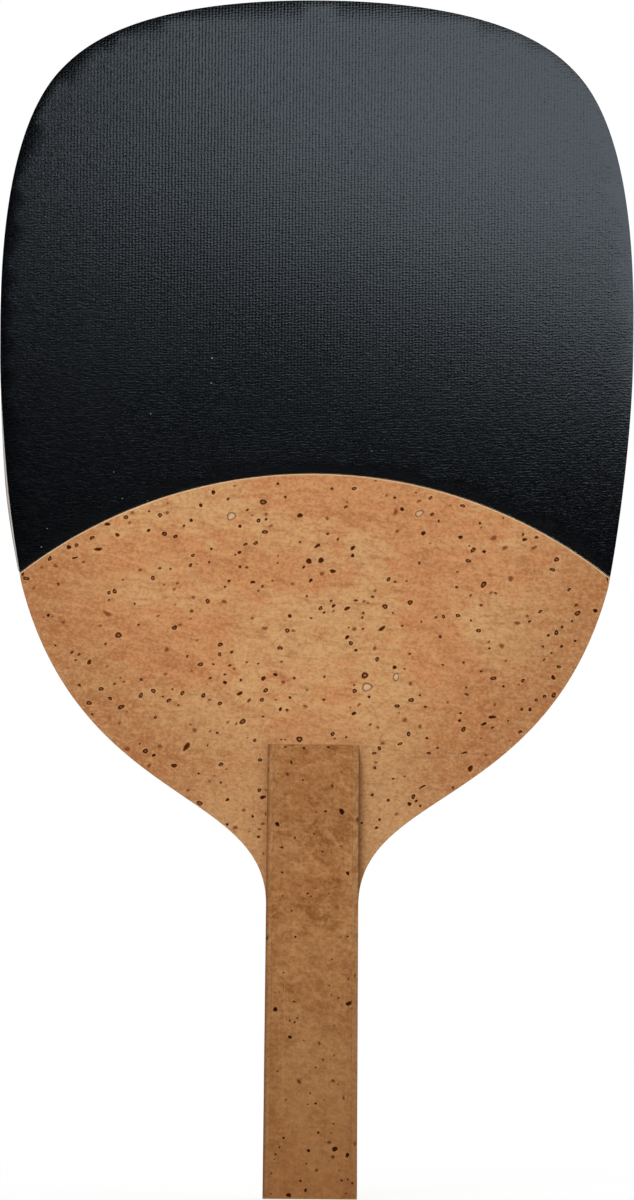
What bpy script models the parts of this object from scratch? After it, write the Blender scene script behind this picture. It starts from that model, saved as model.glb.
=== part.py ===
# A Japanese penhold table tennis racket: a five-ply wooden blade with one smooth rubber on
# its playing face, a cork sheet below the rubber, and a square grip faced with cork.
# Sizes are in metres. +Z runs from the butt to the tip, -Y is the playing face, and the
# origin is the middle of the blade's core at the butt end, on which the racket stands.

from math import cos, pi, radians, sin

import bmesh
import bpy
from mathutils import Vector

mm = 0.001

# Overall sizes
racket_length = 257.0 * mm
blade_width = 135.8 * mm
grip_length = 97.4 * mm  # butt to the foot of the ramp
grip_width_butt = 20.26 * mm
grip_width_ramp = 19.5 * mm
rubber_length = 101.6 * mm  # tip to the top of the cork's arc

# Blade outline, each point measured from the tip or from the widest half
shoulder_drop = 14.7 * mm
shoulder_inset = 13.1 * mm
widest_drop = 75.3 * mm
hip_drop = 126.0 * mm
hip_inset = 5.1 * mm
neck_height = 62.9 * mm
shoulder_angle = radians(45)
hip_angle = radians(75)

# How far the curve runs on straight before and after each outline point
tip_run = 40.5 * mm
shoulder_run_in = 5.0 * mm
shoulder_run_out = 20.0 * mm
widest_run_in = 10.5 * mm
widest_run_out = 21.0 * mm
hip_run_in = 3.0 * mm
hip_run_out = 49.0 * mm
neck_run_in = 25.0 * mm

# Arc where the rubber ends and the cork begins
cork_arc_radius = 102.7 * mm
arc_joint = 0.3 * mm

# Layers, from the middle of the blade outwards
core_thickness = 3.0 * mm
cross_thickness = 0.6 * mm
face_thickness = 0.8 * mm
sponge_thickness = 1.0 * mm
topsheet_thickness = 1.5 * mm
glue_line = 0.2 * mm
sponge_trim = 0.1 * mm
topsheet_trim = 0.4 * mm

# Grip: a wooden block on the playing face, a thinner one on the back, both faced with cork
block_thickness = 2.8 * mm
back_block_thickness = 2.0 * mm
grip_cork_thickness = 1.0 * mm
side_cork_thickness = 1.2 * mm
ramp_run = 7.0 * mm
ramp_foot = 0.25 * mm
ramp_angle = radians(26)
back_grip_length = 88.0 * mm
back_ramp_run = 9.0 * mm

# Fineness of the curved stretches, and how far the cutters run on past what they cut
outline_steps = 14
arc_steps = 90
ramp_steps = 8
cutter_depth = 60.0 * mm
cutter_past = 8.0 * mm

# Heights above the blade's mid-plane, worked out layer by layer
cross_start = core_thickness / 2 + glue_line
face_start = cross_start + cross_thickness + glue_line
blade_surface = face_start + face_thickness
cover_start = blade_surface + glue_line
topsheet_start = cover_start + sponge_thickness + glue_line
cover_surface = topsheet_start + topsheet_thickness
cork_sheet_thickness = cover_surface - cover_start
block_start = cover_surface + glue_line
block_surface = block_start + block_thickness
back_block_start = blade_surface + glue_line
back_block_surface = back_block_start + back_block_thickness

# Turns for a flat drawing: seen from the front its depth runs towards the playing face, and
# as a side view of the grip its first direction runs out of the front or out of the back
facing_front = (pi / 2, 0, 0)
front_profile = (pi / 2, 0, -pi / 2)
back_profile = (pi / 2, 0, pi / 2)


def clear_scene():
    for item in list(bpy.data.objects):
        bpy.data.objects.remove(item, do_unlink=True)


def new_collection(name):
    made = bpy.data.collections.new(name)
    bpy.context.scene.collection.children.link(made)
    return made


def new_material(name, colour, roughness, specular=0.5):
    made = bpy.data.materials.new(name)
    made.use_nodes = True
    shader = made.node_tree.nodes["Principled BSDF"]
    shader.inputs["Base Color"].default_value = (*colour, 1.0)
    shader.inputs["Roughness"].default_value = roughness
    shader.inputs["Metallic"].default_value = 0.0
    shader.inputs["Specular IOR Level"].default_value = specular
    made.diffuse_color = (*colour, 1.0)
    return made


def half_grip_width(height):
    # The grip widens evenly from its ramp to its butt
    share = height / grip_length
    return (grip_width_butt * (1 - share) + grip_width_ramp * share) / 2


class Anchor:
    # A point of an outline, with the curve's direction there and its run before and after
    def __init__(self, across, up, direction=(0, 0), run_in=0.0, run_out=0.0):
        self.place = Vector((across, up, 0))
        self.direction = Vector((*direction, 0))
        self.run_in = run_in
        self.run_out = run_out

    def moved_in(self, inset):
        # The outline runs clockwise, so its inside is on the right of its direction
        inward = Vector((self.direction.y, -self.direction.x, 0))
        self.place += inward * inset
        return self

    def mirrored(self):
        # The same point on the left half, where the outline runs back up
        return Anchor(
            -self.place.x,
            self.place.y,
            (self.direction.x, -self.direction.y),
            self.run_out,
            self.run_in,
        )


def blade_anchors(inset=0.0):
    half = blade_width / 2
    neck = Vector((half_grip_width(neck_height), neck_height))
    butt = Vector((half_grip_width(0), 0))
    grip_side = (butt - neck).normalized()
    tip = Anchor(0, racket_length, (1, 0), tip_run, tip_run)
    right = [
        Anchor(
            half - shoulder_inset,
            racket_length - shoulder_drop,
            (cos(shoulder_angle), -sin(shoulder_angle)),
            shoulder_run_in,
            shoulder_run_out,
        ),
        Anchor(half, racket_length - widest_drop, (0, -1), widest_run_in, widest_run_out),
        Anchor(
            half - hip_inset,
            racket_length - hip_drop,
            (-cos(hip_angle), -sin(hip_angle)),
            hip_run_in,
            hip_run_out,
        ),
        Anchor(neck.x, neck.y, grip_side, neck_run_in, 0.0),
    ]
    for anchor in (tip, *right):
        anchor.moved_in(inset)
    corner = Anchor(butt.x - inset, butt.y)
    half_turn = [*right, corner]
    left = [anchor.mirrored() for anchor in reversed(half_turn)]
    return [tip, *half_turn, *left]


def flat_curve(name, anchors, depth, steps, rotation, collection):
    # A closed flat outline given thickness, its mid-plane through the object's origin
    data = bpy.data.curves.new(name, "CURVE")
    data.dimensions = "2D"
    data.fill_mode = "BOTH"
    data.extrude = depth / 2
    data.resolution_u = steps
    spline = data.splines.new("BEZIER")
    spline.bezier_points.add(len(anchors) - 1)
    spline.use_cyclic_u = True
    for point, anchor in zip(spline.bezier_points, anchors):
        point.co = anchor.place
        point.handle_left = anchor.place - anchor.direction * anchor.run_in
        point.handle_right = anchor.place + anchor.direction * anchor.run_out
        point.handle_left_type = "FREE" if anchor.run_in else "VECTOR"
        point.handle_right_type = "FREE" if anchor.run_out else "VECTOR"
    made = bpy.data.objects.new(name, data)
    made.rotation_euler = rotation
    collection.objects.link(made)
    return made


def curve_to_mesh(curve_object):
    # Booleans need a mesh, with the loose caps of the curve welded to its sides
    bpy.context.view_layer.update()
    graph = bpy.context.evaluated_depsgraph_get()
    mesh = bpy.data.meshes.new_from_object(curve_object.evaluated_get(graph))
    work = bmesh.new()
    work.from_mesh(mesh)
    bmesh.ops.remove_doubles(work, verts=work.verts, dist=0.001 * mm)
    work.to_mesh(mesh)
    work.free()
    name = curve_object.name
    owner = curve_object.users_collection[0]
    placed = curve_object.matrix_world.copy()
    bpy.data.objects.remove(curve_object, do_unlink=True)
    made = bpy.data.objects.new(name, mesh)
    made.matrix_world = placed
    owner.objects.link(made)
    return made


def blade_layer(name, start, thickness, inset, material):
    # A layer of the blade's outline; its start is measured towards the playing face
    made = flat_curve(
        name, blade_anchors(inset), thickness, outline_steps, facing_front, racket
    )
    made.location.y = -(start + thickness / 2)
    made.data.materials.append(material)
    return made


def hide_cutter(cutter):
    cutter.hide_render = True
    cutter.display_type = "WIRE"
    return cutter


def arc_cutter(name, radius):
    # All that lies below the arc: a half circle on top, straight sides down past the butt
    centre_height = racket_length - rubber_length - cork_arc_radius
    turns = [pi * step / arc_steps - pi / 2 for step in range(arc_steps + 1)]
    corners = [Anchor(radius * sin(turn), centre_height + radius * cos(turn)) for turn in turns]
    corners += [Anchor(side * radius, -cutter_past) for side in (1, -1)]
    drawn = flat_curve(name, corners, cutter_depth, 1, facing_front, cutters)
    return hide_cutter(curve_to_mesh(drawn))


def plan_cutter(name, left_inset, right_inset, side=None):
    # The grip seen from the front, down to just past the butt: either the whole width less
    # an inset on each side, or with side -1 or 1 the strip between two insets on that side
    bottom, top = -cutter_past, grip_length + cutter_past

    def across(sign, height, inset):
        return sign * (half_grip_width(height) - inset)

    signs = (-1, 1) if side is None else (side, side)
    corners = [
        Anchor(across(signs[0], top, left_inset), top),
        Anchor(across(signs[1], top, right_inset), top),
        Anchor(across(signs[1], bottom, right_inset), bottom),
        Anchor(across(signs[0], bottom, left_inset), bottom),
    ]
    drawn = flat_curve(name, corners, cutter_depth, 1, facing_front, cutters)
    return hide_cutter(curve_to_mesh(drawn))


def cut(piece, cutter, operation):
    made = piece.modifiers.new(cutter.name, "BOOLEAN")
    made.operation = operation
    made.solver = "EXACT"
    made.object = cutter


def cover_layer(name, start, thickness, trim, material, cutter, operation):
    # A sheet on the playing face, which keeps one side of the arc
    layer = curve_to_mesh(blade_layer(name, start, thickness, trim, material))
    cut(layer, cutter, operation)


def grip_layer(name, turn, length, run, low, high, plan, material, under=None):
    # One layer of a grip. From the side it is flat from the butt up to a soft ramp that runs
    # down to its foot; it lies on the plane at low or, with under, on the block whose ramp
    # it follows. From the front it is cut to its plan.
    crest_height = length - run
    ease = run / 3
    crest = Anchor(high, crest_height, (0, 1), 0.0, ease)
    toe = Anchor(low + ramp_foot, length, (-sin(ramp_angle), cos(ramp_angle)), ease, 0.0)
    anchors = [Anchor(high, 0), crest, toe]
    if under is None:
        anchors += [Anchor(low, length), Anchor(low, 0)]
    else:
        inner_toe = Anchor(low, length, (sin(ramp_angle), -cos(ramp_angle)), 0.0, ease)
        inner_crest = Anchor(under, crest_height, (0, -1), ease, 0.0)
        anchors += [inner_toe, inner_crest, Anchor(under, 0)]
    drawn = flat_curve(name, anchors, 2 * grip_width_butt, ramp_steps, turn, racket)
    layer = curve_to_mesh(drawn)
    layer.data.materials.append(material)
    cut(layer, plan, "INTERSECT")


clear_scene()
racket = new_collection("table_tennis_racket")
cutters = new_collection("cutters")

face_wood = new_material("face_wood", (0.66, 0.46, 0.26), 0.55)
cross_wood = new_material("cross_wood", (0.42, 0.25, 0.12), 0.6)
core_wood = new_material("core_wood", (0.72, 0.55, 0.34), 0.6)
block_wood = new_material("block_wood", (0.62, 0.43, 0.24), 0.6)
sheet_cork = new_material("sheet_cork", (0.53, 0.26, 0.11), 0.6, 0.35)
grip_cork = new_material("grip_cork", (0.36, 0.16, 0.06), 0.65, 0.35)
rubber = new_material("rubber", (0.018, 0.020, 0.023), 0.4)
sponge = new_material("sponge", (0.62, 0.60, 0.54), 0.9, 0.2)

# Blade: five plies glued face to face
blade_layer("core_ply", -core_thickness / 2, core_thickness, 0, core_wood)
for kind, start, thickness, wood in (
    ("cross", cross_start, cross_thickness, cross_wood),
    ("face", face_start, face_thickness, face_wood),
):
    blade_layer(f"front_{kind}_ply", start, thickness, 0, wood)
    blade_layer(f"back_{kind}_ply", -start - thickness, thickness, 0, wood)

# Playing face: sponge and rubber above the arc, the cork sheet below it
above_arc = arc_cutter("rubber_arc", cork_arc_radius + arc_joint)
below_arc = arc_cutter("cork_arc", cork_arc_radius)
cover_layer(
    "sponge_sheet", cover_start, sponge_thickness, sponge_trim, sponge, above_arc, "DIFFERENCE"
)
cover_layer(
    "rubber_topsheet",
    topsheet_start,
    topsheet_thickness,
    topsheet_trim,
    rubber,
    above_arc,
    "DIFFERENCE",
)
cover_layer(
    "cork_sheet", cover_start, cork_sheet_thickness, 0, sheet_cork, below_arc, "INTERSECT"
)

# Front and back of the grip: a wooden block and its cork face. The cork's ramp ends a
# cork's thickness above the block's.
cheek_inset = side_cork_thickness + glue_line
between_cheeks = plan_cutter("between_cheeks", cheek_inset, cheek_inset)
whole_grip = plan_cutter("whole_grip", 0, 0)
for block_name, cork_name, turn, length, run, low, high, plan in (
    (
        "grip_block",
        "grip_face_cork",
        front_profile,
        grip_length,
        ramp_run,
        block_start,
        block_surface,
        between_cheeks,
    ),
    (
        "back_grip_block",
        "back_grip_cork",
        back_profile,
        back_grip_length,
        back_ramp_run,
        back_block_start,
        back_block_surface,
        whole_grip,
    ),
):
    block_length = length - grip_cork_thickness
    cork_low = high + glue_line
    cork_high = cork_low + grip_cork_thickness
    grip_layer(block_name, turn, block_length, run, low, high, plan, block_wood)
    grip_layer(cork_name, turn, length, run, low, cork_high, plan, grip_cork, under=cork_low)

# Cork cheeks: the sides of the front grip, as high as its cork face
cheek_surface = block_surface + glue_line + grip_cork_thickness
for place, side in (("left", -1), ("right", 1)):
    grip_layer(
        f"grip_{place}_cork",
        front_profile,
        grip_length,
        ramp_run,
        block_start,
        cheek_surface,
        plan_cutter(f"{place}_cheek", 0, side_cork_thickness, side),
        grip_cork,
    )
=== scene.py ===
import bpy
import numpy as np
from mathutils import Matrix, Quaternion, Vector
from mathutils.geometry import delaunay_2d_cdt


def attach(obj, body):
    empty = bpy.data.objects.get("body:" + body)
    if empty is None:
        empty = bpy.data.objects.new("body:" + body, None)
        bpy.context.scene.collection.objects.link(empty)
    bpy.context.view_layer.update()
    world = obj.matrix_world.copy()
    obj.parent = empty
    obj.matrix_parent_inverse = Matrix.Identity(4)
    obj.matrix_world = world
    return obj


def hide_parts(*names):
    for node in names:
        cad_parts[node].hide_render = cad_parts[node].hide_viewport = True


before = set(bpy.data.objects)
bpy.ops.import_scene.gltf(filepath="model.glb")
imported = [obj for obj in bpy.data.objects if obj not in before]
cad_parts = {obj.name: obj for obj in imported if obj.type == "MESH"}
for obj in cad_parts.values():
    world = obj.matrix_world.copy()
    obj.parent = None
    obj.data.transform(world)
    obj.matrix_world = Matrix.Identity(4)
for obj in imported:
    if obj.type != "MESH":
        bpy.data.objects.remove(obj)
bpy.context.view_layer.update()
metre = 0.001
print("frame loaded:", len(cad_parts), "nodes")

# Right half of the blade: x, z, heading in degrees, straight run in and out of the point
outline = {
    "anchors": [
        (0.0, 257.0, 0.0, 40.5, 40.5),
        (54.8, 242.3, -45.0, 5.0, 20.0),
        (67.9, 181.7, -90.0, 10.5, 21.0),
        (62.8, 131.0, -105.0, 3.0, 49.0),
        (9.885, 62.9, -89.777, 25.0, 0.0),
    ],
    "corner": (10.13, 0.0),
    "arcCentre": 52.7, "corkRadius": 102.75, "rubberRadius": 102.95,
    "step": 0.9,  # between two points of a plan
}

# Heights of the layers out from the mid-plane, each pair low and high
layers = {
    "core": (-1.6, 1.6), "cross": (1.61, 2.4), "face": (2.41, 3.3), "cork": (3.31, 6.2),
    "sponge": (3.31, 4.6), "pimples": (4.61, 5.5), "rubber": (5.42, 6.2),
}

grip = {
    "length": 97.4, "widthButt": 20.26, "widthRamp": 19.5,
    "rampRun": 7.0, "crest": 10.4, "foot": 6.65, "footAngle": 26.0, "under": 6.21,
    "faceThickness": 1.1, "blockLength": 96.4,
    "joint": 1.3, "jointGap": 0.012,  # how far the joint lines lie inside the sides, and their width
    "backLength": 88.0, "backRampRun": 9.0, "backCrest": 6.7, "backFoot": 3.75, "backUnder": 3.31,
    "backBlockLength": 87.0,
}


def tone(red, green, blue):
    # Screen colour to linear: ((c + 0.055) / 1.055) to the power 2.4, or c / 12.92 when dark
    shade = np.array((red, green, blue)) / 255
    linear = np.where(shade > 0.04045, ((shade + 0.055) / 1.055) ** 2.4, shade / 12.92)
    return (*linear.tolist(), 1.0)


def heading(degrees):
    return np.array((np.cos(np.radians(degrees)), np.sin(np.radians(degrees))))


def bezier(a, b, c, d, count=60):
    # (1-t)^3 a + 3 (1-t)^2 t b + 3 (1-t) t^2 c + t^3 d, for t from 0 to 1
    t = np.linspace(0, 1, count)[:, None]
    return (1 - t) ** 3 * a + 3 * (1 - t) ** 2 * t * b + 3 * (1 - t) * t**2 * c + t**3 * d


def evenly(path, step):
    # The same path with equal steps: both coordinates read off at equal lengths along it
    along = np.append(0, np.cumsum(np.linalg.norm(np.diff(path, axis=0), axis=1)))
    marks = np.linspace(0, along[-1], max(2, round(along[-1] / step) + 1))
    return np.stack([np.interp(marks, along, path[:, k]) for k in (0, 1)], axis=1)


def halfGrip(z):
    # The grip widens evenly from the ramp to the butt
    share = z / grip["length"]
    return (grip["widthButt"] * (1 - share) + grip["widthRamp"] * share) / 2


def rightSide():
    # The edge from the tip to the butt's corner: one Bezier span between each pair of anchors
    spans = []
    for start, end in zip(outline["anchors"], outline["anchors"][1:]):
        a, d = np.array(start[:2]), np.array(end[:2])
        b, c = a + heading(start[2]) * start[4], d - heading(end[2]) * end[3]
        spans.append(bezier(a, b, c, d)[:-1])
    spans.append(np.array([outline["anchors"][-1][:2], outline["corner"]]))
    return evenly(np.vstack(spans), outline["step"])


def cutByArc(side, radius):
    # The edge above and below the arc: its points farther and nearer than the radius from the
    # arc's centre, both with the crossing point between them
    away = np.hypot(side[:, 0], side[:, 1] - outline["arcCentre"])
    first = int(np.argmax(away < radius))
    share = (away[first - 1] - radius) / (away[first - 1] - away[first])
    crossing = side[first - 1] + share * (side[first] - side[first - 1])
    return np.vstack([side[:first], crossing]), np.vstack([crossing, side[first:]])


def arcPath(crossing, radius):
    # From the crossing up to the arc's top: radius times sine and cosine of a turn that goes to 0
    turns = np.linspace(np.arcsin(crossing[0] / radius), 0, 90)[:, None]
    arc = np.hstack([radius * np.sin(turns), outline["arcCentre"] + radius * np.cos(turns)])
    return evenly(arc, outline["step"])


def closedPlan(half):
    # A right half, top to bottom, mirrored down the left and taken back up the right
    return np.vstack([half * (-1, 1), half[-2:0:-1]])


def inset(plan, amount):
    # Each corner moves along the sum of its edges' inward normals over 1 plus their dot product
    edge = np.roll(plan, -1, axis=0) - plan
    edge /= np.linalg.norm(edge, axis=1)[:, None]
    after = np.stack([-edge[:, 1], edge[:, 0]], axis=1)
    before = np.roll(after, 1, axis=0)
    mitre = (after + before) / (1 + (after * before).sum(1))[:, None]
    return plan + mitre * np.broadcast_to(amount, len(plan))[:, None]


def nearest(points, plan):
    # For each point its nearest place on the plan's edges, its distance, and if it is inside:
    # a line to the right crosses the edges an odd number of times
    places, gaps, within = [], [], []
    start, end = plan, np.roll(plan, -1, axis=0)
    edge = end - start
    size = (edge**2).sum(1)
    for part in np.array_split(points, len(points) // 1500 + 1):
        rel = part[:, None] - start
        t = np.clip((rel * edge).sum(2) / size, 0, 1)[..., None]
        place = start + t * edge
        gap = np.linalg.norm(part[:, None] - place, axis=2)
        best = gap.argmin(1)
        rows = np.arange(len(part))
        places.append(place[rows, best])
        gaps.append(gap[rows, best])
        level = part[:, 1:]
        spans = (start[:, 1] > level) != (end[:, 1] > level)
        rise = np.where(edge[:, 1] == 0, 1, edge[:, 1])
        reach = start[:, 0] + (level - start[:, 1]) * edge[:, 0] / rise
        within.append((spans & (part[:, :1] < reach)).sum(1) % 2 == 1)
    return np.vstack(places), np.concatenate(gaps), np.concatenate(within)


# What a mark looks like from its middle out, at these shares of its radius
markShares = np.array([0.0, 0.26, 0.48, 0.70, 0.84, 0.97, 1.23, 1.58])
markKinds = {
    "ring": {
        "dark": (0.2, 0.42, 0.95, 1.0, 0.95, 0.15, 0, 0),
        "red": (0.6, 0.6, 0.5, 0.4, 0.3, 0.2, 0, 0),
        "halo": (0, 0, 0, 0, 0, 0.4, 0.5, 0),
        "depth": (0.8, 0.9, 1.0, 0.7, 0.4, 0, 0, 0),
    },
    "solid": {
        "dark": (1.0, 1.0, 1.0, 0.98, 0.85, 0.10, 0, 0),
        "red": (0, 0, 0, 0.4, 0.5, 0.3, 0, 0),
        "halo": (0, 0, 0, 0, 0, 0.4, 0.45, 0),
        "depth": (1.0, 0.95, 0.8, 0.5, 0.25, 0, 0, 0),
    },
    "blur": {
        "dark": (0.30, 0.30, 0.35, 0.3, 0.15, 0.03, 0, 0),
        "red": (1.0, 1.0, 0.95, 0.8, 0.55, 0.25, 0.08, 0),
        "depth": (0.3, 0.28, 0.2, 0.1, 0.04, 0, 0, 0),
    },
    "stone": {
        "dark": (0, 0, 0.05, 0.4, 0.9, 0.3, 0, 0),
        "halo": (0, 0, 0, 0, 0, 0.3, 0.3, 0),
        "pale": (0.8, 0.8, 0.75, 0.4, 0, 0, 0, 0),
        "depth": (0.15, 0.15, 0.2, 0.5, 0.6, 0.2, 0, 0),
    },
    "fleck": {
        "pale": (1.0, 1.0, 0.9, 0.6, 0.25, 0, 0, 0),
        "depth": (-0.5, -0.5, -0.4, -0.2, 0, 0, 0, 0),
    },
}
# The red channel also carries painted shade beside the grip and along its cheeks, and the pale channel
# painted highlights along the arc and the butt end
markChannels = ("dark", "red", "halo", "pale")
deepestPore = 0.22


def markRows(listed):
    # {kind: [(x, z, radius, stretch, tilt)]} as one list of rows with the kind at the end
    return [(*row, kind) for kind, rows in listed.items() for row in rows]


def swelling(row, turn):
    # A mark's outline swells by a sine of two and of three times the turn, shifted by its place
    phase = 7.0 * row[0] + 3.0 * row[1]
    return 1 + 0.10 * np.sin(2 * turn + phase) + 0.08 * np.sin(3 * turn + 2 * phase)


def turned(points, x, z, tilt):
    # How far the points lie from (x, z), along and across a direction at the tilt
    dx, dz = points[:, 0] - x, points[:, 1] - z
    c, s = heading(tilt)
    return dx * c + dz * s, dz * c - dx * s


def markFrame(points, row):
    # Distance from the mark's middle as a share of its swelling radius, in its own turned axes, one
    # of them stretched and the other shortened
    x, z, radius, stretch, tilt = row[:5]
    u, v = turned(points, x, z, tilt)
    u, v = u / (radius * stretch**0.5), v / (radius / stretch**0.5)
    return np.hypot(u, v) / swelling(row, np.arctan2(v, u))


def markPoints(row):
    # The points of a mark's rings: more rings and sides where the mark is larger
    x, z, radius, stretch, tilt = row[:5]
    large = radius > 0.4
    shares = markShares[1:] if large else markShares[[2, 4, 5, 7]]
    turn = np.linspace(0, 2 * np.pi, 13 if large else 9)[:-1]
    reach = shares[:, None] * swelling(row, turn) * radius
    u, v = reach * np.cos(turn) * stretch**0.5, reach * np.sin(turn) / stretch**0.5
    c, s = heading(tilt)
    ring = np.stack([x + u * c - v * s, z + u * s + v * c], axis=2).reshape(-1, 2)
    return np.vstack([[x, z], ring])


def markFields(points, rows):
    # Each channel of colour, and the depth, at every point: the strongest of all marks there
    fields = np.zeros((len(points), len(markChannels)))
    depth = np.zeros(len(points))
    for row in rows:
        radius, stretch = row[2:4]
        near = np.abs(points - row[:2]).max(1) < 2.2 * radius * stretch**0.5
        share = markFrame(points[near], row)
        kind = markKinds[row[-1]]
        for k, channel in enumerate(markChannels):
            if channel in kind:
                value = np.interp(share, markShares, kind[channel])
                fields[near, k] = np.maximum(fields[near, k], value)
        sunk = np.interp(share, markShares, kind["depth"]) * min(0.5 * radius, deepestPore)
        depth[near] = np.where(np.abs(sunk) > np.abs(depth[near]), sunk, depth[near])
    return fields, depth


def nowhere(points):
    return np.zeros(len(points), bool)


def scatterMarks(plan, scatter, placed=(), keepOff=nowhere):
    # The placed marks and further ones at random: places drawn in the plan's box, kept where they
    # lie in the plan, off the named area and clear of the marks before them
    count, sizes = scatter["count"], scatter["sizes"]
    draw = np.random.default_rng(scatter["seed"])
    places = draw.uniform(plan.min(0), plan.max(0), (count * 4, 2))
    places = keepInside(places, plan, 0.5)
    places = places[~keepOff(places)]
    rows = list(placed)
    for x, z in places:
        if len(rows) == len(placed) + count:
            break
        radius = sizes[0] + (sizes[1] - sizes[0]) * draw.beta(1.4, 2.2)
        stretch, tilt = 1 + 0.9 * draw.beta(1.2, 2.4), draw.uniform(-20, 60)
        kind = draw.choice(["ring", "solid", "blur"], p=scatter["kinds"])
        taken = np.array([row[:3] for row in rows]).reshape(-1, 3)
        apart = np.hypot(taken[:, 0] - x, taken[:, 1] - z) - 1.3 * (taken[:, 2] + radius)
        if (apart >= 0).all():
            rows.append((x, z, radius, stretch, tilt, str(kind)))
    return rows


def keepInside(points, plan, margin):
    gap, within = nearest(points, plan)[1:]
    return points[within & (gap > margin)]


def fillPlan(ring, inner):
    # Triangles over the ring and the points in it. The ring comes first and keeps its order.
    places = [Vector(p) for p in np.vstack([ring, inner]).tolist()]
    found = delaunay_2d_cdt(places, [], [list(range(len(ring)))], 1, 1e-5)
    source = np.array([ids[0] if ids else -1 for ids in found[3]])
    return source[np.array(found[2])]


def honeycomb(low, high, spacing):
    # Rows of points a spacing apart, every second row moved by half, over a box
    x, z = np.meshgrid(np.arange(low[0], high[0], spacing), np.arange(low[1], high[1], spacing * 0.866))
    x[1::2] += spacing / 2
    return np.stack([x.ravel(), z.ravel()], axis=1)


def hexGrid(plan, spacing):
    return keepInside(honeycomb(plan.min(0), plan.max(0), spacing), plan, spacing * 0.4)


def setField(piece, name, values):
    # Values for the mesh's corners: a colour from a table with four columns, or else a number each
    kind, key = ("FLOAT_COLOR", "color") if values.ndim == 2 else ("FLOAT", "value")
    field = piece.data.attributes.new(name, kind, "POINT")
    field.data.foreach_set(key, values.astype(np.float32).ravel())


def stainField(points, stains):
    # The sum of soft oval stains: strength times e to the power of minus the squared distance from
    # the middle, measured in the oval's own two radii
    total = np.zeros(len(points))
    for x, z, long, short, tilt, strength in stains:
        u, v = turned(points, x, z, tilt)
        total += strength * np.exp(-((u / long) ** 2) - (v / short) ** 2)
    return total


def addObject(name, data):
    item = bpy.data.objects.new(name, data)
    bpy.context.scene.collection.objects.link(item)
    return item


def makePiece(node, slotName, finish, corners, faces, fields=None, facing=1):
    # Corners are x, z and height. The playing face looks along -Y, the back along +Y. The piece is
    # named after the node that it stands for.
    placed = np.stack([corners[:, 0], -facing * corners[:, 2], corners[:, 1]], axis=1) * metre
    if facing < 0:
        faces = [face[::-1] for face in faces]
    first, *rest = node.split("_")
    name = first + "".join(word.title() for word in rest)
    mesh = bpy.data.meshes.new(name)
    mesh.from_pydata(placed.tolist(), [], [list(map(int, face)) for face in faces])
    mesh.validate()
    mesh.shade_smooth()
    mesh.set_sharp_from_angle(angle=np.radians(32.0))
    mesh.materials.append(finish)
    piece = addObject(name, mesh)
    if fields is not None:
        setField(piece, "marks", fields)
    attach(piece, "root")
    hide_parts(node)
    print(f"{name}: {sum(len(face.vertices) - 2 for face in mesh.polygons)} triangles")
    return piece


def rounding(radius, steps=4):
    # A quarter circle: inset radius (1 - sin t), drop radius (1 - cos t), for t from 0 to 90 degrees
    t = np.linspace(0, np.pi / 2, steps + 1)
    return [(radius * (1 - np.sin(a)), radius * (1 - np.cos(a))) for a in t]


def flat(height):
    return lambda x, z: np.full(np.shape(x), float(height))


def plateShape(
    plan, front, back, frontRim, backRim=((0.0, 0.0),), share=1.0, marks=(), inner=None, spacing=4.0
):
    # A solid over a plan, with the height of each face as a number or a function. Rows run round it:
    # the front rim from its inset to the plan's edge as it drops, then the back rim the other way.
    # The first and last rows are filled with triangles.
    front, back = (level if callable(level) else flat(level) for level in (front, back))
    rows = []
    for level, rim, sign in ((front, frontRim, -1), (back, backRim[::-1], 1)):
        for away, drop in rim:
            ring = inset(plan, away * share)
            rows.append(np.column_stack([ring, level(*ring.T) + sign * drop * share]))
    count = len(plan)
    corner = np.arange(count)
    faces = []
    for k in range(len(rows) - 1):
        a, b = corner + k * count, np.roll(corner, -1) + k * count
        faces += np.stack([a, a + count, b + count, b], axis=1).tolist()

    frontRing, backRing = rows[0][:, :2], rows[-1][:, :2]
    points = hexGrid(frontRing, spacing)
    if inner is not None:
        points = np.vstack([points, keepInside(inner, frontRing, 0.12)])
    if len(marks):
        rings = keepInside(np.vstack([markPoints(row) for row in marks]), frontRing, 0.08)
        for x, z, radius, stretch, *_ in marks:
            points = points[np.hypot(points[:, 0] - x, points[:, 1] - z) > 2.0 * radius * stretch**0.5]
        points = np.vstack([points, rings])
    backPoints = hexGrid(backRing, 6.0)
    base = count * (len(rows) - 1)
    fill = fillPlan(frontRing, points)
    faces += np.where(fill < count, fill, fill + base).tolist()
    fill = fillPlan(backRing, backPoints)[:, ::-1] + base
    faces += np.where(fill < base + count, fill, fill + len(points)).tolist()
    lifted = np.column_stack([points, front(*points.T)])
    corners = np.vstack([*rows, lifted, np.column_stack([backPoints, back(*backPoints.T)])])
    if not len(marks):
        return corners, faces
    fields, depth = markFields(corners[:, :2], marks)
    onFace = corners[:, 2] > front(*corners[:, :2].T) - 0.35
    corners[:, 2] -= depth * onFace
    return corners, faces, fields * onFace[:, None]

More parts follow.
